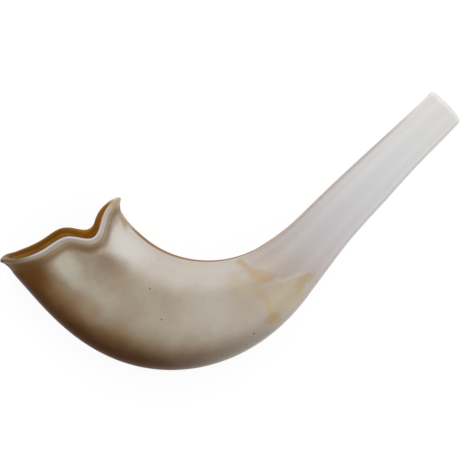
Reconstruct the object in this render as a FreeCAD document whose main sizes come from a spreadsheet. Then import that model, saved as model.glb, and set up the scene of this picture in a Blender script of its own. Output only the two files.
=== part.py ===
import FreeCAD, Part
import os

os.makedirs("parts", exist_ok=True)
doc = FreeCAD.newDocument("shofar")

# ---------------------------------------------------------------- dimensions
# Millimetres and degrees. The horn lies on its side: its curve is drawn in the XY plane,
# the stem runs straight from the mouth and then turns in one arc to the bell.
DIMENSIONS = [
    ("mouth_x", 118.31, "centre of the mouth end"),
    ("mouth_y", 69.15, "centre of the mouth end"),
    ("mouth_z", 10.5, "height of the mouth centre above the ground"),
    ("heading", 225.0, "plan direction of the stem, seen from the mouth"),
    ("rise", 2.7, "upward slope of the stem axis"),
    ("stem_length", 129.2, "straight part of the centre line"),
    ("bend_radius", 73.0, "radius of the centre line in the bend"),
    ("mouth_length", 22.0, "length of the mouthpiece region"),
    ("neck_at", 112.0, "where the solid tip ends and the layered wall begins"),
    ("cup_radius", 8.2, "radius of the mouth cup at the end face"),
    ("cup_depth", 9.0, "depth of the mouth cup"),
    ("throat_radius", 2.6, "narrow throat under the cup"),
    ("bore_radius", 4.0, "drilled bore of the stem"),
    ("bore_end", 127.0, "where the bore opens into the natural hollow"),
    ("layer", 1.6, "thickness of the pale outer keratin"),
    ("wall", 3.2, "thickness of both keratin layers together"),
    ("bead", 0.9, "how far the rolled lip stands proud of the wall"),
    ("lip_width", 3.0, "width of the rolled lip"),
    ("lip_round", 1.0, "rounding of the lip's outer and inner edges"),
    ("chord_x", -127.3, "outer point of the bell rim"),
    ("chord_y", -15.3, "outer point of the bell rim"),
    ("chord_angle", 27.7, "plan direction from the outer point to the inner point"),
    ("chord_length", 69.5, "distance between the two points of the rim"),
    ("chord_z", 20.5, "height of the middle of the bell mouth"),
    ("rim_tilt", 12.5, "how much further the underside of the rim reaches"),
    ("rim_skew", 6.0, "how the notch leans along the chord from underside to top"),
    ("scoop_depth", 4.0, "shallow hollow of the rim"),
    ("scoop_at", 0.30, "its place along the chord"),
    ("scoop_wide", 0.19, "its width along the chord"),
    ("notch_depth", 10.3, "deep notch of the rim"),
    ("notch_at", 0.727, "its place along the chord"),
    ("notch_wide", 0.100, "its width along the chord"),
]

# Cross-sections of the horn: distance along the centre line, reach to the outside of the
# bend, reach to the inside, half-thickness, and height of the centre.
SECTIONS = {
    "tip": (-8.0, 11.0, 11.3, 10.3, 10.3),
    "mouth": (6.0, 11.6, 11.6, 10.6, 10.8),
    "slim": (34.6, 12.0, 12.5, 11.1, 12.0),
    "shaft": (62.6, 13.4, 13.6, 12.1, 13.4),
    "nape": (90.6, 15.0, 14.2, 13.4, 14.9),
    "neck": (112.6, 18.0, 15.0, 15.0, 16.3),
    "throat": (130.6, 20.8, 18.4, 17.0, 17.9),
    "shoulder": (150.6, 25.2, 22.6, 19.4, 19.9),
    "belly": (171.6, 30.0, 26.4, 21.2, 21.4),
    "deep": (191.6, 33.4, 29.2, 22.0, 22.0),
    "broad": (211.6, 34.8, 31.2, 21.6, 21.8),
    "waist": (232.6, 34.3, 32.5, 20.2, 21.0),
    "bell": (250.6, 34.3, 32.4, 18.8, 20.5),
    "flare": (264.1, 36.6, 31.7, 18.3, 20.2),
    "mouthing": (280.1, 41.6, 32.3, 19.0, 20.2),
    "beyond": (299.1, 45.0, 33.8, 19.6, 20.2),
}
SECTION_FIELDS = ("along", "outer", "inner", "half", "centre")

LAYERED = ["nape", "neck", "throat", "shoulder", "belly", "deep", "broad", "waist",
           "bell", "flare", "mouthing", "beyond"]
LIPPED = ["waist", "bell", "flare", "mouthing", "beyond"]

# The natural hollow starts as a blunt cone at the end of the drilled bore: distance along
# the centre line, half-width, half-thickness, height of the centre.
HOLLOW_TIP = {
    "point": (122.0, 4.3, 4.2, 16.4),
    "cone": (133.0, 9.5, 8.5, 18.1),
    "funnel": (145.0, 16.8, 13.4, 19.4),
}
HOLLOW_FIELDS = ("along", "wide", "half", "centre")
HOLLOWED = ["belly", "deep", "broad", "waist", "bell", "flare", "mouthing", "beyond"]

sheet = doc.addObject("Spreadsheet::Sheet", "dims")
sheet_row = 0


def write_dimension(alias, value, note):
    """Add one named number to the sheet."""
    global sheet_row
    sheet_row += 1
    sheet.set("A%d" % sheet_row, alias)
    sheet.set("B%d" % sheet_row, str(value))
    sheet.set("C%d" % sheet_row, note)
    sheet.setAlias("B%d" % sheet_row, alias)


for alias, value, note in DIMENSIONS:
    write_dimension(alias, value, note)
for name, numbers in SECTIONS.items():
    for field, value in zip(SECTION_FIELDS, numbers):
        write_dimension("%s_%s" % (name, field), value, "cross-section")
for name, numbers in HOLLOW_TIP.items():
    for field, value in zip(HOLLOW_FIELDS, numbers):
        write_dimension("%s_%s" % (name, field), value, "hollow")
doc.recompute()


def bind(thing, **expressions):
    """Drive the properties of an object by expressions, dots written as double underscores."""
    for path, expression in expressions.items():
        thing.setExpression(path.replace("__", "."), expression)
    return thing


# ---------------------------------------------------------------- cross-sections
def station(along, offset, centre):
    """Placement expression of a section plane standing across the centre line."""
    straight = "min(%s; dims.stem_length)" % along
    turned = "(dims.heading - max(%s - dims.stem_length; 0) / dims.bend_radius * 180 / pi)" % along
    place = ("placement(vector("
             "dims.mouth_x + {s} * cos(dims.heading)"
             " + dims.bend_radius * (sin(dims.heading) - sin({t})) - ({o}) * sin({t}); "
             "dims.mouth_y + {s} * sin(dims.heading)"
             " + dims.bend_radius * (cos({t}) - cos(dims.heading)) + ({o}) * cos({t}); "
             "{c}); rotation({t} + 90; 0; 90))")
    return place.format(s=straight, t=turned, o=offset, c=centre)


def oval(label, along, offset, wide, half, centre):
    """One elliptical cross-section."""
    section = doc.addObject("Part::Ellipse", label)
    bind(section, MajorRadius=wide, MinorRadius=half, Placement=station(along, offset, centre))
    return section


def horn_section(prefix, name, inset):
    """A cross-section of the horn, shrunk by an inset all round."""
    key = "dims.%s_" % name
    return oval("%s_%s" % (prefix, name), key + "along",
                "(%souter - %sinner) / 2" % (key, key),
                "(%souter + %sinner) / 2 - (%s)" % (key, key, inset),
                "%shalf - (%s)" % (key, inset), key + "centre")


def hollow_section(name):
    """A cross-section of the pointed end of the natural hollow."""
    key = "dims.%s_" % name
    return oval("hollow_" + name, key + "along", "0", key + "wide", key + "half", key + "centre")


def loft(label, sections):
    """A smooth solid through a row of sections."""
    solid = doc.addObject("Part::Loft", label)
    solid.Sections = sections
    solid.Solid = True
    solid.Ruled = False
    return solid


outer_blank = loft("outer_blank", [horn_section("skin", n, "0") for n in SECTIONS])
middle_blank = loft("middle_blank", [horn_section("middle", n, "dims.layer") for n in LAYERED])
hollow = loft("hollow", [hollow_section(n) for n in HOLLOW_TIP]
              + [horn_section("inside", n, "dims.wall") for n in HOLLOWED])
lip_blank = loft("lip_blank", [horn_section("bead", n, "-dims.bead") for n in LIPPED])

# ---------------------------------------------------------------- cutters on the stem axis
STEM_AXIS = ("placement(vector(dims.mouth_x; dims.mouth_y; dims.mouth_z); "
             "rotation(dims.heading; -dims.rise; 0))")


def stem_block(label, start, length):
    """A block across the stem, square to its axis, used to slice the blank."""
    block = doc.addObject("Part::Box", label)
    bind(block, Length=length, Width="60", Height="60",
         Placement=STEM_AXIS + " * placement(vector(%s; -30; -30); rotation(0; 0; 0))" % start)
    return block


def stem_cylinder(label, radius, start, length):
    """A round hole on the stem axis."""
    rod = doc.addObject("Part::Cylinder", label)
    bind(rod, Radius=radius, Height=length,
         Placement=STEM_AXIS + " * placement(vector(%s; 0; 0); rotation(0; 90; 0))" % start)
    return rod


def cut(label, base, tool):
    result = doc.addObject("Part::Cut", label)
    result.Base = base
    result.Tool = tool
    return result


def common(label, first, second):
    result = doc.addObject("Part::MultiCommon", label)
    result.Shapes = [first, second]
    return result


def fuse(label, shapes):
    result = doc.addObject("Part::MultiFuse", label)
    result.Shapes = shapes
    return result


# ---------------------------------------------------------------- cutters of the bell rim
RIM_STATIONS = 17
RIM_OVERRUN = 0.25


def hump(name, share):
    """Depth of a smooth bell-shaped hollow of the rim at a share of the chord."""
    shape = "{n}_depth * exp(-0.5 * pow((({s:.5f}) - {n}_at) / {n}_wide; 2))"
    return shape.format(n="dims." + name, s=share)


def rim_cutter(label, inward):
    """Everything beyond the wavy rim, moved inward by a given amount."""
    rows = []
    for index in range(RIM_STATIONS):
        share = -RIM_OVERRUN + index * (1 + 2 * RIM_OVERRUN) / (RIM_STATIONS - 1)
        wave = "(%s + %s + %s)" % (hump("scoop", share), hump("notch", share), inward)
        row = doc.addObject("Part::Plane", "%s_row_%02d" % (label, index))
        bind(row, Length="60", Width="70",
             Placement="placement(vector(dims.chord_x; dims.chord_y; dims.chord_z);"
                       " rotation(dims.chord_angle; 0; 0))"
                       " * placement(vector({u}; 0; 0); rotation(0; dims.rim_skew; dims.rim_tilt))"
                       " * placement(vector(0; -{w}; -35); rotation(90; 0; 90))".format(
                           u="(%.5f) * dims.chord_length" % share, w=wave))
        rows.append(row)
    return loft(label, rows)


beyond_rim = rim_cutter("beyond_rim", "0")
beyond_lip_root = rim_cutter("beyond_lip_root", "dims.lip_width")

# ---------------------------------------------------------------- mouthpiece
cup = doc.addObject("Part::Cone", "cup")
bind(cup, Radius1="dims.cup_radius", Radius2="dims.throat_radius", Height="dims.cup_depth",
     Placement=STEM_AXIS + " * placement(vector(0; 0; 0); rotation(0; 90; 0))")
throat = stem_cylinder("throat", "dims.throat_radius", "-1", "dims.mouth_length + 2")
mouth_block = stem_block("mouth_block", "0", "dims.mouth_length")
mouthpiece = cut("mouthpiece", common("mouth_slice", outer_blank, mouth_block),
                 fuse("mouth_passage", [cup, throat]))

# ---------------------------------------------------------------- stem
bore = stem_cylinder("bore", "dims.bore_radius", "dims.mouth_length",
                     "dims.bore_end - dims.mouth_length")
stem_slice_block = stem_block("stem_slice_block", "dims.mouth_length",
                              "dims.neck_at - dims.mouth_length")
stem = cut("stem", common("stem_slice", outer_blank, stem_slice_block), bore)

# ---------------------------------------------------------------- layered wall
tip_block = stem_block("tip_block", "-20", "dims.neck_at + 20")
outer_layer = cut("outer_layer", outer_blank,
                  fuse("outside_outer_layer", [middle_blank, tip_block, beyond_lip_root]))
inner_layer = cut("inner_layer", middle_blank,
                  fuse("outside_inner_layer", [hollow, bore, tip_block, beyond_lip_root]))

# ---------------------------------------------------------------- rolled lip
lip_band = common("lip_band", cut("lip_side", lip_blank, hollow), beyond_lip_root)
square_lip = cut("square_lip", lip_band, beyond_rim)
doc.recompute()


def edges_on(shape, surface, at_least):
    """Numbers of the long edges of a shape that lie on a surface."""
    found = []
    for number, edge in enumerate(shape.Edges, 1):
        middle = edge.valueAt((edge.FirstParameter + edge.LastParameter) / 2)
        if edge.Length > at_least and surface.distToShape(Part.Vertex(middle))[0] < 0.02:
            found.append(number)
    return found


bell_lip = doc.addObject("Part::Fillet", "bell_lip")
bell_lip.Base = square_lip
bell_lip.Edges = [(number, sheet.lip_round, sheet.lip_round)
                  for number in edges_on(square_lip.Shape, beyond_rim.Shape, 20)]
doc.recompute()

# ---------------------------------------------------------------- export
NODES = [mouthpiece, stem, outer_layer, inner_layer, bell_lip]
for thing in doc.Objects:
    if "Invalid" in thing.State or "Error" in thing.State:
        raise RuntimeError("%s did not build: %s" % (thing.Name, thing.State))
for node in NODES:
    if node.Shape.isNull() or not node.Shape.isValid():
        raise RuntimeError("%s has no valid shape" % node.Name)
    if len(node.Shape.Solids) != 1:
        raise RuntimeError("%s is %d solids" % (node.Name, len(node.Shape.Solids)))
    node.Shape.exportStep("parts/%s.step" % node.Label)
    box = node.Shape.optimalBoundingBox()
    print(node.Label, round(node.Shape.Volume), [round(v, 2) for v in (
        box.XMin, box.XMax, box.YMin, box.YMax, box.ZMin, box.ZMax)])
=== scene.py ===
import bpy
import math
import numpy as np
from mathutils import Matrix, Vector


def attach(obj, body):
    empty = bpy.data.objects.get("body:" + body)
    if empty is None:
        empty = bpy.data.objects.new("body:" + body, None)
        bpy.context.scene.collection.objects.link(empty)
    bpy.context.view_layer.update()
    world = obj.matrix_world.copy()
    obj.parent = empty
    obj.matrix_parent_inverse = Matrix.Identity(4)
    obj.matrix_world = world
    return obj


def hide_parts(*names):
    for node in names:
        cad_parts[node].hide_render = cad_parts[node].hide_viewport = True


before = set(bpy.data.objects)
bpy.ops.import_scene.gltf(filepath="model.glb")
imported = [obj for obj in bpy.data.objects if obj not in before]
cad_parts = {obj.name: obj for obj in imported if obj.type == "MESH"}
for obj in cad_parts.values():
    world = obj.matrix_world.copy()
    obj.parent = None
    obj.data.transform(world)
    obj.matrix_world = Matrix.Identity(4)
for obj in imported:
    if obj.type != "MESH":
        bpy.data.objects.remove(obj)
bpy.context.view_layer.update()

# ------------------------------------------------------------------ shape of the horn
# Millimetres and degrees, as in the CAD model: a straight stem, then one arc to the bell.
MOUTH = np.array([118.31, 69.15, 10.5])
HEADING = math.radians(225.0)
RISE = math.radians(2.7)
STEM_LENGTH = 129.2
BEND_RADIUS = 73.0
MOUTH_LENGTH = 22.0
NECK_AT = 112.0
THROAT_RADIUS = 2.6
BORE_RADIUS = 4.0
LAYER = 1.6
WALL = 3.2
BORE_END = 127.0
HOLLOW_FULL = 152.0
AWAY_FROM_RIM = 200.0

# Cross-sections: along, reach to the outside of the bend, reach to the inside,
# half-thickness, height of the centre.
SECTIONS = np.array([
    (-8.0, 11.0, 11.3, 10.3, 10.3),
    (6.0, 11.6, 11.6, 10.6, 10.8),
    (34.6, 12.0, 12.5, 11.1, 12.0),
    (62.6, 13.4, 13.6, 12.1, 13.4),
    (90.6, 15.0, 14.2, 13.4, 14.9),
    (112.6, 18.0, 15.0, 15.0, 16.3),
    (130.6, 20.8, 18.4, 17.0, 17.9),
    (150.6, 25.2, 22.6, 19.4, 19.9),
    (171.6, 30.0, 26.4, 21.2, 21.4),
    (191.6, 33.4, 29.2, 22.0, 22.0),
    (211.6, 34.8, 31.2, 21.6, 21.8),
    (232.6, 34.3, 32.5, 20.2, 21.0),
    (250.6, 34.3, 32.4, 18.8, 20.5),
    (264.1, 36.6, 31.7, 18.3, 20.2),
    (280.1, 41.6, 32.3, 19.0, 20.2),
    (299.1, 45.0, 33.8, 19.6, 20.2),
])

# The bell rim: a wavy edge over a chord from the outer point to the inner point.
CHORD_START = np.array([-127.3, -15.3, 20.5])
CHORD_ANGLE = math.radians(27.7)
CHORD_LENGTH = 69.5
RIM_TILT = math.radians(12.5)
RIM_SKEW = math.radians(6.0)
SCOOP = (4.0, 0.30, 0.19)
NOTCH = (10.3, 0.727, 0.100)
LIP_WIDTH = 3.2

# How far the looks go past the plain rim of the CAD model, in mm.
OUTER_REACH = 1.5
INNER_REACH = 0.2
FAR_RIM_REACH = 0.45
OUTER_KNOB = 1.1
INNER_KNOB = 1.7

ROUND = 320
THETA = np.linspace(0.0, 2.0 * math.pi, ROUND, endpoint=False)
KEEL = np.cos(THETA)
FACE = np.sin(THETA)


def smooth(low, high, value):
    """A soft step from 0 to 1 between two limits."""
    t = np.clip((value - low) / (high - low), 0.0, 1.0)
    return t * t * (3.0 - 2.0 * t)


def natural_spline(x, y):
    """Second derivatives of a natural cubic spline through the points."""
    n = len(x)
    step = np.diff(x)
    matrix = np.eye(n)
    right = np.zeros(n)
    for i in range(1, n - 1):
        matrix[i, i - 1] = step[i - 1]
        matrix[i, i] = 2.0 * (step[i - 1] + step[i])
        matrix[i, i + 1] = step[i]
        right[i] = 6.0 * ((y[i + 1] - y[i]) / step[i] - (y[i] - y[i - 1]) / step[i - 1])
    return np.linalg.solve(matrix, right)


CURVES = [natural_spline(SECTIONS[:, 0], SECTIONS[:, k]) for k in range(1, 5)]


def section_value(k, along):
    """One of the section measures at any distance along the horn."""
    x, y, m = SECTIONS[:, 0], SECTIONS[:, k], CURVES[k - 1]
    i = np.clip(np.searchsorted(x, along) - 1, 0, len(x) - 2)
    h = x[i + 1] - x[i]
    a = (x[i + 1] - along) / h
    b = (along - x[i]) / h
    return a * y[i] + b * y[i + 1] + ((a ** 3 - a) * m[i] + (b ** 3 - b) * m[i + 1]) * h * h / 6.0


def spine(along):
    """Plan position and heading of the centre line."""
    straight = np.minimum(along, STEM_LENGTH)
    turn = HEADING - np.maximum(along - STEM_LENGTH, 0.0) / BEND_RADIUS
    x = MOUTH[0] + straight * math.cos(HEADING) + BEND_RADIUS * (math.sin(HEADING) - np.sin(turn))
    y = MOUTH[1] + straight * math.sin(HEADING) + BEND_RADIUS * (np.cos(turn) - math.cos(HEADING))
    return x, y, turn


def fullness(along, keel, face):
    """The bell is blunt on the outside of the bend and pinched to a fin on the inside."""
    bell = smooth(222.0, 264.0, along)
    blunt = 0.46 * np.maximum(keel, 0.0) ** 2
    cheek = np.where(face > 0.0, 0.13, 0.04) * np.exp(-((keel + 0.36) / 0.2) ** 2)
    fin = 0.40 * smooth(0.52, 0.84, -keel) * smooth(240.0, 272.0, along)
    return 1.0 + bell * (blunt + cheek) - fin


def skin(along, theta):
    """Point of the plain outer surface."""
    x, y, turn = spine(along)
    outer, inner = section_value(1, along), section_value(2, along)
    keel, face = np.cos(theta), np.sin(theta)
    side = (outer - inner) / 2.0 + (outer + inner) / 2.0 * keel
    z = section_value(4, along) + section_value(3, along) * face * fullness(along, keel, face)
    return np.stack([x - side * np.sin(turn), y + side * np.cos(turn), z], axis=-1)


def skin_normal(along, theta):
    """Outward normal of the plain outer surface."""
    e = 0.05
    da = skin(along + e, theta) - skin(along - e, theta)
    dt = skin(along, theta + 1e-3) - skin(along, theta - 1e-3)
    n = np.cross(dt, da)
    return n / np.linalg.norm(n, axis=-1, keepdims=True)


turned = (Matrix.Rotation(CHORD_ANGLE, 3, "Z") @ Matrix.Rotation(RIM_SKEW, 3, "Y")
          @ Matrix.Rotation(RIM_TILT, 3, "X"))
RIM_AXES = np.array(turned)
RIM_AXES[:, 0] = (math.cos(CHORD_ANGLE), math.sin(CHORD_ANGLE), 0.0)
TO_RIM = np.linalg.inv(RIM_AXES)


def wave(share):
    """How far the rim lies inside its chord, and the slope of that."""
    total = np.zeros_like(share)
    slope = np.zeros_like(share)
    for depth, at, wide in (SCOOP, NOTCH):
        h = depth * np.exp(-0.5 * ((share - at) / wide) ** 2)
        total = total + h
        slope = slope - h * (share - at) / wide ** 2 / CHORD_LENGTH
    return total, slope


def beyond_rim(point):
    """Signed distance of a point beyond the rim, measured square to the rim line."""
    rel = (point - CHORD_START) @ TO_RIM.T
    share = rel[..., 0] / CHORD_LENGTH
    inward, slope = wave(share)
    inward = inward - OUTER_REACH * smooth(0.12, -0.02, share)
    inward = inward - INNER_REACH * smooth(0.93, 1.01, share)
    inward = inward - FAR_RIM_REACH * smooth(0.0, -12.0, rel[..., 2]) * smooth(1.0, 0.8, share)
    return (rel[..., 1] + inward) / np.sqrt(1.0 + slope ** 2)


def along_behind_rim(behind, theta):
    """Distance along the horn of the ring that lies a given way behind the rim."""
    low = np.full(theta.shape, 225.0)
    high = np.full(theta.shape, 298.0)
    for _ in range(40):
        middle = (low + high) / 2.0
        outside = beyond_rim(skin(middle, theta)) > -behind
        high = np.where(outside, middle, high)
        low = np.where(outside, low, middle)
    return (low + high) / 2.0


def near_line(point, start, end, width, fade):
    """A soft ridge profile about a plan line, fading towards its far end."""
    start, end = np.array(start), np.array(end)
    line = end - start
    share = ((point[..., :2] - start) @ line) / (line @ line)
    foot = start + np.clip(share, 0.0, 1.0)[..., None] * line
    gap = np.linalg.norm(point[..., :2] - foot, axis=-1)
    return np.exp(-(gap / width) ** 2) * (1.0 - smooth(fade, 1.0, share))


def relief(point, theta, behind):
    """Small rises and hollows of the outer surface: the groove behind the lip and the
    folds that run down from the inner point of the bell."""
    up = np.sin(theta)
    groove = -0.75 * np.exp(-((behind - 6.0) / 2.3) ** 2) * (0.55 + 0.45 * up)
    swell = 0.35 * np.exp(-((behind - 12.0) / 4.5) ** 2) * (0.5 + 0.5 * up)
    top = smooth(0.0, 0.35, up)
    ridge = 0.95 * near_line(point, (-64.5, 15.5), (-71.5, -7.5), 2.2, 0.35) * top
    fold = -0.85 * near_line(point, (-62.0, 13.5), (-59.5, -1.5), 1.8, 0.3) * top
    near_rim = np.exp(-(np.maximum(behind, 0.0) / 7.0) ** 2)
    knob = near_rim * (INNER_KNOB * smooth(0.88, 0.99, -np.cos(theta))
                       + OUTER_KNOB * smooth(0.96, 0.998, np.cos(theta)))
    return groove + swell + ridge + fold + knob


# ------------------------------------------------------------------ mesh building
def ring(points, along, behind, depth=0.0):
    """One ring of vertices with the horn coordinates that the materials read."""
    full = np.ones(ROUND)
    return {"co": points, "along": along * full, "behind": behind * full,
            "keel": KEEL, "face": FACE, "depth": depth * full}


def closed_piece(name, rings, node, material):
    """A closed ring-shaped solid from rings that follow each other round its wall."""
    rows = len(rings)
    co = np.concatenate([r["co"] for r in rings]) * 0.001
    i = np.arange(rows)[:, None] * ROUND
    j = np.arange(ROUND)[None, :]
    up = (np.arange(rows)[:, None] + 1) % rows * ROUND
    nxt = (j + 1) % ROUND
    quads = np.stack([i + j, i + nxt, up + nxt, up + j], axis=-1).reshape(-1, 4)
    a, b, c, d = (co[quads[:, k]] for k in range(4))
    volume = np.einsum("ij,ij->", a, np.cross(b, c)) + np.einsum("ij,ij->", a, np.cross(c, d))
    if volume < 0:
        quads = quads[:, ::-1]
    mesh = bpy.data.meshes.new(name)
    mesh.from_pydata(co.tolist(), [], quads.tolist())
    for field in ("along", "behind", "keel", "face", "depth"):
        layer = mesh.attributes.new(field, "FLOAT", "POINT")
        layer.data.foreach_set("value", np.concatenate([r[field] for r in rings]).astype(np.float32))
    mesh.polygons.foreach_set("use_smooth", [True] * len(mesh.polygons))
    mesh.set_sharp_from_angle(angle=math.radians(42.0))
    mesh.update()
    piece = bpy.data.objects.new(name, mesh)
    bpy.context.scene.collection.objects.link(piece)
    mesh.materials.append(material)
    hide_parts(node)
    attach(piece, "root")
    return piece


def stem_axis(along):
    """Point on the axis of the drilled bore."""
    direction = np.array([math.cos(HEADING) * math.cos(RISE), math.sin(HEADING) * math.cos(RISE),
                          math.sin(RISE)])
    return MOUTH + along * direction


def round_ring(along, radius, depth):
    """A circle of the drilled passage."""
    side = np.array([-math.sin(HEADING), math.cos(HEADING), 0.0])
    upward = np.array([-math.cos(HEADING) * math.sin(RISE), -math.sin(HEADING) * math.sin(RISE),
                       math.cos(RISE)])
    points = stem_axis(along) + radius * (KEEL[:, None] * side + FACE[:, None] * upward)
    return ring(points, along, AWAY_FROM_RIM, depth)


def skin_along(along):
    """Distances that put a ring square to the bore, and slightly askew at the mouth end."""
    height = section_value(3, np.full(ROUND, along)) * FACE
    square = 1.0 - smooth(NECK_AT, NECK_AT + 25.0, along)
    askew = 0.3 * (1.0 - smooth(0.0, MOUTH_LENGTH, along))
    return along - math.tan(RISE) * height * square + askew * KEEL


def skin_ring(along):
    """A ring of the outer surface."""
    d = skin_along(along)
    points = skin(d, THETA)
    behind = np.minimum(-beyond_rim(points), AWAY_FROM_RIM)
    normal = skin_normal(d, THETA)
    lift = relief(points, THETA, behind)
    if along < 8.0:
        lift = lift + 0.4 * math.exp(-((along - 1.2) / 1.3) ** 2) * smooth(0.5, 1.0, -KEEL)
    return ring(points + normal * lift[:, None], d, behind)


def bell_rings(start, rows, inset, depth):
    """Rings that leave the plain cross-sections and gather into the wavy root of the lip."""
    first = skin_along(start)
    last = along_behind_rim(LIP_WIDTH, THETA)
    made = []
    for row in range(rows + 1):
        t = row / rows
        d = first + (last - first) * t
        points = skin(d, THETA)
        behind = -beyond_rim(points)
        normal = skin_normal(d, THETA)
        lift = relief(points, THETA, behind) * (1.0 if inset == 0.0 else 0.6)
        made.append(ring(points + normal * (lift - inset)[:, None], d, behind, depth))
    return made


def spread(start, end, step):
    """Distances from start to end, about a step apart."""
    return list(np.linspace(start, end, max(2, int(round(abs(end - start) / step)) + 1)))


# ------------------------------------------------------------------ shader helpers
def srgb(r, g, b):
    """Linear colour of an ordinary 0 to 255 colour."""
    def one(v):
        v = v / 255.0
        return v / 12.92 if v <= 0.04045 else ((v + 0.055) / 1.055) ** 2.4
    return (one(r), one(g), one(b), 1.0)


class Graph:
    """A short way to write a material's node tree."""

    def __init__(self, name):
        self.material = bpy.data.materials.new(name)
        self.material.use_nodes = True
        self.tree = self.material.node_tree
        self.tree.nodes.clear()

    def node(self, kind, **settings):
        made = self.tree.nodes.new(kind)
        for key, value in settings.items():
            setattr(made, key, value)
        return made

    def feed(self, socket, value):
        if isinstance(value, bpy.types.NodeSocket):
            self.tree.links.new(value, socket)
        elif value is not None:
            socket.default_value = value

    def attribute(self, name):
        return self.node("ShaderNodeAttribute", attribute_name=name).outputs["Fac"]

    def math(self, operation, a, b):
        made = self.node("ShaderNodeMath", operation=operation)
        for socket, value in zip(made.inputs, (a, b)):
            self.feed(socket, value)
        return made.outputs[0]

    def add(self, a, b):
        return self.math("ADD", a, b)

    def times(self, a, b):
        return self.math("MULTIPLY", a, b)

    def step(self, value, low, high, to_low=0.0, to_high=1.0):
        """A soft step of a value between two limits."""
        made = self.node("ShaderNodeMapRange", interpolation_type="SMOOTHSTEP")
        for key, v in (("Value", value), ("From Min", low), ("From Max", high),
                       ("To Min", to_low), ("To Max", to_high)):
            self.feed(made.inputs[key], v)
        return made.outputs[0]

    def mix(self, factor, a, b):
        made = self.node("ShaderNodeMix", data_type="RGBA")
        self.feed(made.inputs["Factor"], factor)
        self.feed(made.inputs[6], a)
        self.feed(made.inputs[7], b)
        return made.outputs[2]

    def ramp(self, factor, stops):
        made = self.node("ShaderNodeValToRGB")
        band = made.color_ramp
        band.interpolation = "B_SPLINE"
        while len(band.elements) < len(stops):
            band.elements.new(0.5)
        for element, (at, colour) in zip(band.elements, sorted(stops)):
            element.position = at
            element.color = colour
        self.feed(made.inputs[0], factor)
        return made.outputs[0]

    def noise(self, vector, scale, detail=3.0, rough=0.5, distortion=0.0):
        made = self.node("ShaderNodeTexNoise")
        self.feed(made.inputs["Vector"], vector)
        for key, v in (("Scale", scale), ("Detail", detail), ("Roughness", rough),
                       ("Distortion", distortion)):
            made.inputs[key].default_value = v
        return made

    def vector(self, operation, a, b=None, scale=None):
        made = self.node("ShaderNodeVectorMath", operation=operation)
        self.feed(made.inputs[0], a)
        if b is not None:
            self.feed(made.inputs[1], b)
        if scale is not None:
            self.feed(made.inputs["Scale"], scale)
        return made.outputs["Value" if operation == "LENGTH" else "Vector"]

    def blot(self, place, centre, radii, turn, soft=0.6):
        """A soft oval spot in plan: centre and radii in mm, turned in degrees."""
        mapping = self.node("ShaderNodeMapping", vector_type="TEXTURE")
        self.feed(mapping.inputs["Vector"], place)
        mapping.inputs["Location"].default_value = (centre[0], centre[1], 0.0)
        mapping.inputs["Rotation"].default_value = (0.0, 0.0, math.radians(turn))
        mapping.inputs["Scale"].default_value = (radii[0], radii[1], 1.0e6)
        far = self.vector("LENGTH", mapping.outputs[0])
        return self.step(far, 1.0 + soft, 1.0 - soft)

    def millimetres(self):
        """Position on the horn in mm."""
        return self.vector("SCALE", self.node("ShaderNodeTexCoord").outputs["Object"], scale=1000.0)

    def pushed_about(self, place):
        """The same position moved by soft noise, so that spots get ragged outlines."""
        drift = self.noise(place, 0.07, 3.0, 0.55)
        pushed = self.vector("SUBTRACT", drift.outputs["Color"], (0.5, 0.5, 0.5))
        return self.vector("ADD", place, self.vector("SCALE", pushed, scale=9.0))

    def grain(self, stretch, across, scale, detail, rough):
        """Noise drawn out along the horn."""
        space = self.node("ShaderNodeCombineXYZ")
        self.feed(space.inputs[0], self.times(self.attribute("along"), stretch))
        self.feed(space.inputs[1], self.times(self.attribute("keel"), across))
        self.feed(space.inputs[2], self.times(self.attribute("face"), across))
        return self.noise(space.outputs[0], scale, detail, rough).outputs["Fac"]

    def bump(self, height, strength, distance, normal=None):
        made = self.node("ShaderNodeBump")
        made.inputs["Strength"].default_value = strength
        made.inputs["Distance"].default_value = distance
        self.feed(made.inputs["Height"], height)
        self.feed(made.inputs["Normal"], normal)
        return made.outputs[0]

    def finish(self, shader):
        self.feed(self.node("ShaderNodeOutputMaterial").inputs["Surface"], shader.outputs[0])
        return self.material


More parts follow.
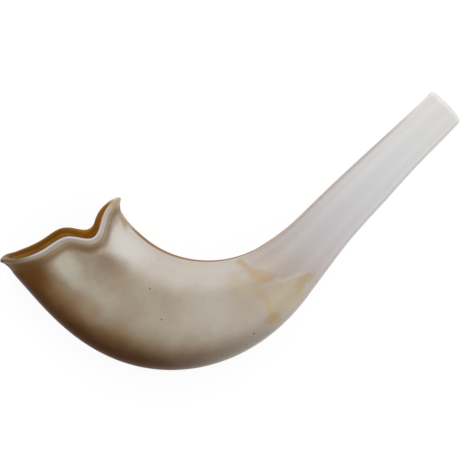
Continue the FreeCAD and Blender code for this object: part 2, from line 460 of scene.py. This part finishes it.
def horn_skin():
    """Polished pale keratin: white at the mouth, pinkish grey at the neck, beige in the bend,
    deep brown along the outside of the bell, amber in the stain and on the inside of the curve.
    The brown on the outside of the bell is partly painted shade, and the paler inside of the curve
    is partly painted light. Painted highlights lie along the lip's edge, round the mouth end and in
    two broad pale patches. Painted shade lies in the groove behind the lip, along the crease
    under the inner point and along the outer edge."""
    g = Graph("horn_skin")
    mm = g.millimetres()
    warped = g.pushed_about(mm)
    along, keel, face = g.attribute("along"), g.attribute("keel"), g.attribute("face")
    behind, depth = g.attribute("behind"), g.attribute("depth")
    wide = g.noise(mm, 0.035, 3.0, 0.5).outputs["Fac"]
    cloud = g.noise(mm, 0.075, 2.0, 0.5, 0.3).outputs["Fac"]
    loose = g.add(keel, g.times(g.add(wide, -0.5), 0.30))

    share = g.times(along, 1.0 / 280.0)
    base = g.ramp(share, [
        (0.000, srgb(226, 222, 216)), (0.10, srgb(221, 220, 218)), (0.22, srgb(212, 210, 210)),
        (0.32, srgb(202, 197, 197)), (0.40, srgb(192, 183, 181)), (0.50, srgb(184, 172, 160)),
        (0.60, srgb(184, 175, 160)), (0.70, srgb(172, 161, 140)), (0.80, srgb(162, 146, 121)),
        (0.90, srgb(156, 140, 116)), (1.00, srgb(148, 128, 100))])

    # the bend and bell are mottled between pinkish and greenish beige
    mottled = g.step(along, 125.0, 160.0)
    base = g.mix(g.times(g.step(cloud, 0.45, 0.68), g.times(mottled, 0.35)), base, srgb(162, 138, 114))
    base = g.mix(g.times(g.step(cloud, 0.52, 0.30), g.times(mottled, 0.35)), base, srgb(180, 172, 152))

    # paler towards the inside of the curve: partly the horn's own paler tone, partly painted light on the
    # side that faces the key light
    inside = g.times(g.step(loose, -0.25, -0.85), g.step(along, 118.0, 165.0))
    base = g.mix(g.times(inside, 0.82), base, srgb(209, 200, 189))

    # brown on the outside of the bell: partly the horn's own colour, partly painted shade on the side
    # turned away from the light
    belly = g.step(along, 122.0, 214.0)
    brown_and_painted_shade = g.times(g.step(loose, 0.20, 0.74), g.step(along, 118.0, 258.0, 0.0, 0.95))
    base = g.mix(brown_and_painted_shade, base, srgb(122, 88, 48))
    deep_brown_and_shade = g.times(g.step(loose, 0.48, 0.92), belly)
    base = g.mix(deep_brown_and_shade, base, srgb(66, 35, 6))
    matte = g.times(g.step(loose, 0.12, 0.66), belly)

    top = g.step(face, -0.1, 0.2)

    def spot(colour, centre, radii, turn, strength, soft=0.6):
        nonlocal base
        mask = g.times(g.times(g.blot(warped, centre, radii, turn, soft), top), strength)
        base = g.mix(mask, base, colour)

    # pale patch by the inner point of the bell: partly pale keratin, partly a painted soft highlight
    spot(srgb(220, 216, 210), (-55.5, -7.5), (13.0, 7.5), -38.0, 0.68)
    spot(srgb(138, 114, 90), (-67.5, -17.8), (9.0, 4.5), -22.0, 0.8, 0.8)
    spot(srgb(190, 185, 168), (-88.5, -19.5), (10.5, 5.5), -58.0, 0.85, 0.7)
    spot(srgb(178, 169, 150), (-72.0, -33.5), (14.0, 4.6), -30.0, 0.6, 0.7)
    # broad pale band near the inside of the bend: partly pale keratin, partly a painted highlight
    spot(srgb(206, 198, 188), (-3.0, -23.4), (26.0, 6.0), 6.0, 0.5, 0.7)
    spot(srgb(190, 183, 168), (-6.0, -43.0), (19.0, 10.0), 16.0, 0.65, 0.8)
    spot(srgb(118, 102, 86), (12.0, -62.5), (20.0, 5.0), 24.0, 0.45, 0.8)

    # painted shade in the groove under the notch; brown towards the outer point, partly the horn's own
    # colour and partly painted shade; a tan fold under the inner point with painted shade along the crease
    # beside it
    spot(srgb(112, 84, 50), (-77.0, -9.3), (7.5, 2.4), 6.0, 0.85)
    spot(srgb(96, 58, 18), (-107.0, -24.0), (9.0, 7.0), -30.0, 0.85, 0.7)
    spot(srgb(178, 148, 98), (-60.4, 5.2), (6.0, 1.5), -66.0, 0.85)
    spot(srgb(158, 138, 122), (-65.0, 4.8), (6.5, 1.5), 68.0, 0.55, 0.8)

    # the amber stain where the neck meets the bend: a tan field with darker, ragged edges
    spot(srgb(172, 152, 122), (21.0, -31.0), (22.0, 13.0), 20.0, 0.38, 0.8)
    spot(srgb(190, 174, 144), (29.4, -35.6), (12.0, 8.5), 28.0, 0.75, 0.35)
    spot(srgb(184, 152, 100), (16.2, -24.3), (8.0, 2.7), -17.0, 0.65)
    spot(srgb(188, 160, 112), (19.5, -39.0), (9.5, 2.0), -66.0, 0.55, 0.8)
    spot(srgb(168, 138, 92), (23.2, -48.0), (4.6, 3.0), 20.0, 0.75, 0.5)
    spot(srgb(182, 154, 104), (40.8, -26.0), (6.0, 2.4), 32.0, 0.6)
    spot(srgb(186, 160, 114), (38.2, -32.0), (5.0, 1.6), 70.0, 0.5)
    # a thin pale line across the stain
    spot(srgb(210, 200, 194), (30.5, -26.3), (14.0, 1.1), 16.5, 0.3)
    spot(srgb(184, 152, 100), (6.3, -18.0), (3.6, 1.9), -50.0, 0.65)
    spot(srgb(188, 168, 130), (5.2, -30.1), (7.0, 3.6), -25.0, 0.45, 0.8)

    # amber shows through on the inside of the curve, tan along the stem
    # painted shade: a grey-brown darkening along the outer edge, where the side turns away from the light
    rounded = g.times(g.step(keel, 0.84, 0.98), g.step(deep_brown_and_shade, 0.6, 0.0, 0.0, 0.4))
    base = g.mix(rounded, base, srgb(122, 114, 106))
    edge = g.times(g.step(keel, -0.95, -0.98), g.step(face, -0.22, 0.06, 0.45, 1.0))
    amber = g.times(edge, g.times(g.step(along, 80.0, 140.0), g.step(along, 266.0, 235.0)))
    tan = g.times(g.step(keel, -0.76, -1.0), g.step(along, 4.0, 40.0))
    tan = g.times(tan, g.step(along, 150.0, 112.0, 0.25, 0.8))
    base = g.mix(tan, base, srgb(152, 124, 98))
    # painted highlight: a white band round the mouth end
    base = g.mix(g.times(g.step(along, 2.4, 0.8), 0.8), base, srgb(240, 240, 240))
    base = g.mix(g.times(amber, 0.95), base, srgb(138, 92, 12))

    # the lip: a painted highlight along the edge over the pale bead, painted shade in the groove behind it
    # painted shade: a brown band in the hollow groove behind the lip
    groove = g.times(g.step(behind, 8.6, 5.6), g.step(behind, 3.4, 5.0))
    base = g.mix(g.times(groove, 0.8), base, srgb(124, 94, 58))
    seam = g.times(g.step(behind, 4.6, 3.8), g.step(behind, 2.4, 3.2))
    base = g.mix(g.times(seam, 0.8), base, srgb(144, 112, 62))
    pale = g.times(g.step(behind, 3.6, 2.0), g.step(keel, 0.90, 0.35, 0.2, 0.8))
    pale_tone = g.mix(g.step(keel, 0.2, -0.5), srgb(174, 164, 148), srgb(186, 172, 156))
    base = g.mix(pale, base, pale_tone)
    shaded = g.times(g.step(keel, 0.2, 0.75), g.times(g.step(behind, 2.0, 3.0), g.step(behind, 12.0, 5.0)))
    base = g.mix(g.times(shaded, 0.75), base, srgb(92, 60, 30))
    # painted highlight: bluish white along the lip's edge, browner towards the outer point
    lip = g.times(g.step(behind, 1.35, 0.35), g.step(keel, -0.82, -0.40))
    lip_tone_with_highlight = g.mix(g.step(keel, 0.35, 0.80), srgb(200, 199, 202), srgb(112, 96, 72))
    base = g.mix(g.times(lip, g.step(keel, 0.95, 0.45, 0.5, 1.0)), base, lip_tone_with_highlight)
    under = g.times(g.step(face, 0.05, -0.12), g.step(behind, 1.6, 0.8))
    base = g.mix(under, base, srgb(124, 86, 34))

    # pits
    for x, y in ((-43.0, -31.8), (-36.4, -48.4), (13.0, -56.1)):
        pit = g.times(g.blot(mm, (x, y), (0.55, 0.42), 20.0, 0.6), top)
        base = g.mix(g.times(pit, 0.8), base, srgb(74, 52, 38))

    # growth grain runs along the horn
    grain = g.grain(0.018, 7.0, 2.2, 4.0, 0.6)
    clear = g.math("SUBTRACT", 1.0, g.math("MAXIMUM", matte, amber))
    streak = g.times(g.step(grain, 0.50, 0.80), g.step(along, 215.0, 130.0, 0.0, 0.07))
    base = g.mix(streak, base, srgb(222, 216, 208))
    base = g.mix(g.times(g.step(grain, 0.46, 0.20), 0.05), base, srgb(120, 92, 62))

    tips = g.add(g.step(keel, -0.86, -0.94), g.step(keel, 0.94, 0.975))
    tip_tone = g.mix(g.step(keel, -0.5, 0.5), srgb(182, 157, 122), srgb(72, 50, 20))
    base = g.mix(g.times(tips, g.step(behind, 4.5, 2.5)), base, tip_tone)
    solid_tip = g.times(g.step(keel, -0.86, -0.97), g.step(behind, 3.5, 1.5))
    inner = g.times(g.step(depth, 0.35, 0.65), g.math("SUBTRACT", 1.0, solid_tip))
    hollow_tone = g.mix(g.step(along, 150.0, 200.0), srgb(196, 180, 150),
                        g.mix(g.step(keel, -0.35, 0.1), srgb(152, 98, 22), srgb(122, 76, 8)))
    base = g.mix(inner, base, hollow_tone)

    shader = g.node("ShaderNodeBsdfPrincipled")
    g.feed(shader.inputs["Base Color"], base)
    dull = g.noise(mm, 0.2, 3.0, 0.5).outputs["Fac"]
    g.feed(shader.inputs["Roughness"], g.step(dull, 0.3, 0.75, 0.27, 0.37))
    shader.inputs["IOR"].default_value = 1.54
    clear = g.times(clear, g.math("SUBTRACT", 1.0, inner))
    g.feed(shader.inputs["Specular IOR Level"], g.step(clear, 0.0, 1.0, 0.03, 0.45))
    g.feed(shader.inputs["Coat Weight"], g.times(clear, 0.12))
    shader.inputs["Subsurface Weight"].default_value = 0.12
    shader.inputs["Subsurface Radius"].default_value = (1.0, 0.7, 0.45)
    shader.inputs["Subsurface Scale"].default_value = 0.0025
    shader.inputs["Coat Roughness"].default_value = 0.16
    swells = g.bump(g.noise(mm, 0.09, 2.0, 0.5).outputs["Fac"], 0.25, 0.0006)
    g.feed(shader.inputs["Normal"], g.bump(grain, 0.03, 0.0001, swells))
    return g.finish(shader)


def horn_lining():
    """Amber inner keratin, satin, olive towards the outer point and redder in the notch."""
    g = Graph("horn_lining")
    along, keel = g.attribute("along"), g.attribute("keel")
    cloud = g.noise(g.millimetres(), 0.10, 4.0, 0.6, 0.3).outputs["Fac"]
    tone = g.ramp(g.add(g.times(keel, 0.5), 0.5), [
        (0.0, srgb(176, 108, 20)), (0.35, srgb(154, 94, 16)), (0.60, srgb(126, 78, 4)),
        (1.0, srgb(140, 102, 8))])
    tone = g.mix(g.times(g.step(cloud, 0.45, 0.7), 0.5), tone, srgb(178, 124, 34))
    tone = g.mix(g.times(g.step(cloud, 0.5, 0.3), 0.4), tone, srgb(122, 66, 6))
    tone = g.mix(g.step(along, 175.0, 125.0), tone, srgb(176, 150, 104))
    grain = g.grain(0.08, 14.0, 2.4, 5.0, 0.65)
    tone = g.mix(g.times(g.step(grain, 0.5, 0.75), 0.35), tone, srgb(190, 138, 48))
    shader = g.node("ShaderNodeBsdfPrincipled")
    g.feed(shader.inputs["Base Color"], tone)
    g.feed(shader.inputs["Roughness"], g.step(cloud, 0.3, 0.7, 0.42, 0.6))
    shader.inputs["IOR"].default_value = 1.54
    shader.inputs["Specular IOR Level"].default_value = 0.2
    shader.inputs["Subsurface Weight"].default_value = 0.1
    shader.inputs["Subsurface Radius"].default_value = (1.0, 0.6, 0.2)
    shader.inputs["Subsurface Scale"].default_value = 0.002
    g.feed(shader.inputs["Normal"], g.bump(grain, 0.35, 0.0003))
    return g.finish(shader)


SKIN = horn_skin()
LINING = horn_lining()

# ------------------------------------------------------------------ pieces
# mouthpiece: skin, rounded end, cup, throat
rings = [skin_ring(d) for d in reversed(spread(0.45, MOUTH_LENGTH, 1.0))]
edge_outer = skin_ring(0.45)["co"]
normal_in = stem_axis(0.45) - edge_outer
normal_in /= np.linalg.norm(normal_in, axis=1, keepdims=True)
out_way = -(stem_axis(1.0) - stem_axis(0.0))
for k in range(1, 7):
    a = k / 6.0 * math.pi / 2.0
    points = edge_outer + normal_in * (0.8 * (1.0 - math.cos(a))) + out_way * (0.8 * math.sin(a))
    rings.append(ring(points, 0.4, AWAY_FROM_RIM))
end_outer = rings[-1]["co"]
cup_rim = round_ring(0.0, 8.9, 0.0)["co"]
askew = out_way * (0.3 * -KEEL[:, None] + 0.35)
for t in (0.35, 0.7, 1.0):
    rings.append(ring(end_outer * (1.0 - t) + (cup_rim + askew * 0.8) * t, 0.2, AWAY_FROM_RIM))
for d, radius, deep in ((0.25, 8.35, 0.1), (0.9, 7.9, 0.3), (2.2, 7.25, 0.5), (3.8, 6.3, 0.6),
                        (5.4, 5.1, 0.7), (6.9, 3.9, 0.8), (8.2, 3.0, 0.9), (9.2, 2.65, 1.0),
                        (10.5, THROAT_RADIUS, 1.0), (16.0, THROAT_RADIUS, 1.0),
                        (MOUTH_LENGTH, THROAT_RADIUS, 1.0)):
    turned = round_ring(d, radius, deep)
    if d < 1.0:
        turned["co"] = turned["co"] + askew * (0.8 - 0.7 * d)
    rings.append(turned)
closed_piece("horn_mouthpiece", rings, "mouthpiece", SKIN)

# stem: skin and drilled bore
rings = [skin_ring(d) for d in spread(MOUTH_LENGTH, NECK_AT, 1.0)]
rings += [round_ring(d, BORE_RADIUS, 1.0) for d in spread(NECK_AT, MOUTH_LENGTH, 6.0)]
closed_piece("horn_stem", rings, "stem", SKIN)

# outer layer: skin from the neck to the root of the lip, and its hidden back
rings = bell_rings(NECK_AT, 190, 0.0, 0.0)
rings += list(reversed(bell_rings(NECK_AT, 40, LAYER, 1.0)))
closed_piece("horn_outer_layer", rings, "outer_layer", SKIN)

# inner layer: its hidden outside, the wall of the hollow, and the bore
rings = bell_rings(NECK_AT, 40, LAYER, 0.0)
rings += list(reversed(bell_rings(HOLLOW_FULL, 130, WALL, 1.0)))
for d, radius in ((144.0, 15.0), (137.0, 11.0), (131.0, 7.2), (BORE_END, 4.6)):
    circle = round_ring(d, radius, 1.0)
    x, y, turn = spine(d)
    flat = np.array([1.0, 1.0, 0.86 if d > 130.0 else 1.0])
    centre = np.array([float(x), float(y), float(section_value(4, d))])
    side = np.stack([-np.sin(turn) * KEEL, np.cos(turn) * KEEL, FACE], axis=-1) * radius * flat
    circle["co"] = centre + side
    rings.append(circle)
rings += [round_ring(d, BORE_RADIUS, 1.0) for d in (125.5, 118.0, NECK_AT)]
closed_piece("horn_inner_layer", rings, "inner_layer", LINING)

# lip: flared out, rolled over the edge and back down the inside
LIP_PROFILE = [
    (3.2, 0.0), (2.7, 0.14), (2.2, 0.42), (1.7, 0.78), (1.2, 1.08), (0.7, 1.20), (0.30, 1.10),
    (0.0, 0.82), (-0.12, 0.45), (-0.10, 0.05), (0.05, -0.45), (0.25, -1.1), (0.55, -1.8),
    (1.0, -2.45), (1.6, -2.9), (2.4, -3.12), (3.2, -3.2)]
t_in = np.linspace(0.0, 1.0, len(LIP_PROFILE))
t_out = np.linspace(0.0, 1.0, 45)
profile = np.array(LIP_PROFILE)
fine = []
for k in range(2):
    bend = natural_spline(t_in, profile[:, k])
    i = np.clip(np.searchsorted(t_in, t_out) - 1, 0, len(t_in) - 2)
    h = t_in[i + 1] - t_in[i]
    a, b = (t_in[i + 1] - t_out) / h, (t_out - t_in[i]) / h
    fine.append(a * profile[i, k] + b * profile[i + 1, k]
                + ((a ** 3 - a) * bend[i] + (b ** 3 - b) * bend[i + 1]) * h * h / 6.0)
rings = []
root_d = along_behind_rim(LIP_WIDTH, THETA)
root_lift = relief(skin(root_d, THETA), THETA, np.full(ROUND, LIP_WIDTH))
for back, rise in zip(*fine):
    d = along_behind_rim(back, THETA)
    points = skin(d, THETA)
    normal = skin_normal(d, THETA)
    proud = rise * (0.85 + 0.15 * FACE + 0.5 * smooth(0.9, 1.0, np.abs(KEEL))) if rise > 0 else rise
    fade = smooth(-0.3, LIP_WIDTH, back)
    height = proud + root_lift * (0.35 + 0.65 * fade) * (1.0 if rise > -1.6 else 0.6)
    rings.append(ring(points + normal * height[:, None], d, back,
                      depth=smooth(0.75, 0.1, rise) if back < 1.0 else (0.0 if rise > -0.5 else 1.0)))
closed_piece("horn_bell_lip", rings, "bell_lip", SKIN)

# ------------------------------------------------------------------ studio
floor_mesh = bpy.data.meshes.new("floor")
floor_mesh.from_pydata([(-3, -3, 0), (3, -3, 0), (3, 3, 0), (-3, 3, 0)], [], [(0, 1, 2, 3)])
floor = bpy.data.objects.new("floor", floor_mesh)
bpy.context.scene.collection.objects.link(floor)
floor.location = (0.0, 0.0, -0.0002)
g = Graph("floor_white")
shader = g.node("ShaderNodeBsdfPrincipled")
shader.inputs["Base Color"].default_value = (0.18, 0.18, 0.18, 1.0)
shader.inputs["Roughness"].default_value = 0.9
shader.inputs["Emission Color"].default_value = (1.0, 1.0, 1.0, 1.0)
shader.inputs["Emission Strength"].default_value = 0.86
floor_mesh.materials.append(g.finish(shader))

world = bpy.data.worlds.new("studio")
bpy.context.scene.world = world
world.use_nodes = True
world.node_tree.nodes["Background"].inputs["Color"].default_value = (0.97, 0.98, 1.0, 1.0)
world.node_tree.nodes["Background"].inputs["Strength"].default_value = 0.74


def softbox(name, location, target, size, power, colour):
    """A rectangular lamp turned towards a point."""
    data = bpy.data.lights.new(name, "AREA")
    data.shape = "RECTANGLE"
    data.size, data.size_y = size
    data.energy = power
    data.color = colour
    lamp = bpy.data.objects.new(name, data)
    bpy.context.scene.collection.objects.link(lamp)
    lamp.location = location
    way = Vector(target) - Vector(location)
    lamp.rotation_euler = way.to_track_quat("-Z", "Y").to_euler()


softbox("key", (0.05, 0.75, 0.75), (0.0, 0.0, 0.02), (1.1, 0.5), 2.2, (1.0, 0.985, 0.96))
softbox("fill", (0.55, -0.45, 0.75), (0.03, 0.0, 0.02), (0.7, 0.5), 1.0, (0.98, 0.99, 1.0))

# camera: nearly overhead, looking at a point in the middle of the horn
CAMERA_LENS = 134.55
CAMERA_AIM = Vector((-0.0009, 0.0005, 0.02))
CAMERA_DISTANCE = 0.9487
CAMERA_LEAN_X = math.radians(2.945)
CAMERA_LEAN_Y = math.radians(-1.49)
CAMERA_ROLL = math.radians(0.113)

camera_data = bpy.data.cameras.new("camera")
camera_data.type = "PERSP"
camera_data.sensor_width = 36.0
camera_data.lens = CAMERA_LENS
camera = bpy.data.objects.new("camera", camera_data)
bpy.context.scene.collection.objects.link(camera)
back = Vector((math.sin(CAMERA_LEAN_X), math.sin(CAMERA_LEAN_Y), 0.0))
back.z = math.sqrt(1.0 - back.length_squared)
right = Vector((0.0, 1.0, 0.0)).cross(back).normalized()
upward = back.cross(right)
camera.location = CAMERA_AIM + back * CAMERA_DISTANCE
level = Matrix((right, upward, back)).transposed()
camera.rotation_euler = (level @ Matrix.Rotation(CAMERA_ROLL, 3, "Z")).to_euler()
camera_data.clip_end = 10.0
bpy.context.scene.camera = camera
bpy.context.scene.view_settings.view_transform = "Standard"
